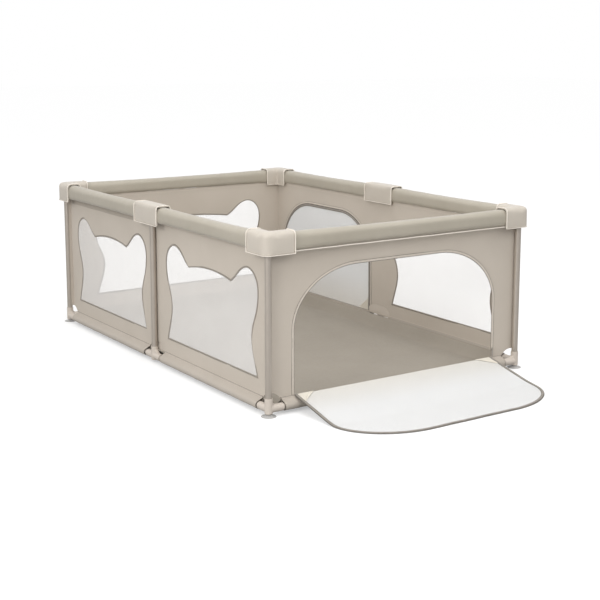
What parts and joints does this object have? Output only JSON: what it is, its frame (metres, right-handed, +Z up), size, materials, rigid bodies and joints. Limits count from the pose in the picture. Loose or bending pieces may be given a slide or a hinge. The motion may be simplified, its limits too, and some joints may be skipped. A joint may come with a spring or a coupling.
{
  "type": "playpen",
  "caption": "Rectangular fabric playpen on a tubular frame, with padded top rails, mesh windows, a folded-down zip door in front and a closed zip door at the side.",
  "frame": {"origin": "on the floor at the centre of the rectangle of the post axes", "axes": "+Z up, +X to the right seen from the front door, +Y from the front door wall to the back wall"},
  "size_m": [1.266, 2.2692, 0.673],
  "materials": {
    "painted_steel": "satin",
    "connector_plastic": "satin",
    "soft_foot": "satin",
    "padded_cover_fabric": "matte",
    "padded_cap_fabric": "satin",
    "foam": "matte",
    "wall_fabric": "matte",
    "white_mesh": "matte",
    "binding_tape": "matte",
    "zip_tape": "satin",
    "zip_metal": "satin",
    "floor_fabric": "matte"
  },
  "bodies": {
    "frame": {"bottom_connector_back_left": "connector_plastic", "bottom_connector_back_right": "connector_plastic", "bottom_connector_front_left": "connector_plastic", "bottom_connector_front_right": "connector_plastic", "bottom_connector_middle_left": "connector_plastic", "bottom_connector_middle_right": "connector_plastic", "bottom_tubes": "painted_steel", "cap_back_left": "padded_cap_fabric", "cap_back_right": "padded_cap_fabric", "cap_front_left": "padded_cap_fabric", "cap_front_right": "padded_cap_fabric", "cap_middle_left": "padded_cap_fabric", "cap_middle_right": "padded_cap_fabric", "floor_mat": "floor_fabric", "front_zip": "zip_tape", "post_back_left": "painted_steel", "post_back_right": "painted_steel", "post_front_left": "painted_steel", "post_front_right": "painted_steel", "post_middle_left": "painted_steel", "post_middle_right": "painted_steel", "rail_cover_back": "padded_cover_fabric", "rail_cover_front": "padded_cover_fabric", "rail_cover_left_back": "padded_cover_fabric", "rail_cover_left_front": "padded_cover_fabric", "rail_cover_right_back": "padded_cover_fabric", "rail_cover_right_front": "padded_cover_fabric", "rail_foam": "foam", "side_zip": "zip_tape", "suction_foot_back_left": "soft_foot", "suction_foot_back_right": "soft_foot", "suction_foot_front_left": "soft_foot", "suction_foot_front_right": "soft_foot", "top_corner_connectors": "connector_plastic", "top_tee_connectors": "connector_plastic", "top_tubes": "painted_steel", "wall_back": "wall_fabric", "wall_front": "wall_fabric", "wall_left_back": "wall_fabric", "wall_left_front": "wall_fabric", "wall_right_back": "wall_fabric", "wall_right_front": "wall_fabric", "window_bindings": "binding_tape", "window_mesh_back": "white_mesh", "window_mesh_left_back": "white_mesh", "window_mesh_left_front": "white_mesh", "window_mesh_right_front": "white_mesh"},
    "front_door_lower": {"front_door_lower_binding": "binding_tape", "front_door_lower_mesh": "white_mesh"},
    "front_door_upper": {"front_door_upper_binding": "binding_tape", "front_door_upper_mesh": "white_mesh"},
    "front_zip_pull": {"front_zip_pull": "zip_metal"},
    "front_zip_slider": {"front_zip_slider": "zip_metal"},
    "side_door_lower": {"side_door_lower_binding": "binding_tape", "side_door_lower_mesh": "white_mesh"},
    "side_door_upper": {"side_door_upper_binding": "binding_tape", "side_door_upper_mesh": "white_mesh"},
    "side_zip_pull": {"side_zip_pull": "zip_metal"},
    "side_zip_slider": {"side_zip_slider": "zip_metal"}
  },
  "joints": [
    {"name": "front_door_fold", "type": "hinge", "parent": "frame", "child": "front_door_lower", "pos_m": [0, -0.885, 0.0575], "axis": [-1, 0, 0], "range_deg": [0, 103.15]},
    {"name": "front_door_crease", "type": "hinge", "parent": "front_door_lower", "child": "front_door_upper", "pos_m": [0, -1.1226, 0.002], "axis": [-1, 0, 0], "range_deg": [-13.15, 0]},
    {"name": "side_door_fold", "type": "hinge", "parent": "frame", "child": "side_door_lower", "pos_m": [0.585, 0.45, 0.0575], "axis": [0, 1, 0], "range_deg": [0, 103.15]},
    {"name": "side_door_crease", "type": "hinge", "parent": "side_door_lower", "child": "side_door_upper", "pos_m": [0.585, 0.45, 0.3015], "axis": [0, 1, 0], "range_deg": [-13.15, 0]},
    {"name": "front_zip_slide", "type": "slide", "parent": "frame", "child": "front_zip_slider", "axis": [0, 0, 1], "range_m": [0, 0.18]},
    {"name": "front_pull_swing", "type": "hinge", "parent": "front_zip_slider", "child": "front_zip_pull", "pos_m": [0.4835, -0.8919, 0.092], "axis": [-1, 0, 0], "range_deg": [0, 150]},
    {"name": "side_zip_slide", "type": "slide", "parent": "frame", "child": "side_zip_slider", "axis": [0, 0, 1], "range_m": [0, 0.18]},
    {"name": "side_pull_swing", "type": "hinge", "parent": "side_zip_slider", "child": "side_zip_pull", "pos_m": [0.5919, 0.0705, 0.092], "axis": [0, -1, 0], "range_deg": [0, 150]}
  ],
  "couplings": [
    {"joint": "front_door_crease", "follows": "front_door_fold", "ratio": -0.12746},
    {"joint": "side_door_crease", "follows": "side_door_fold", "ratio": -0.12746}
  ]
}
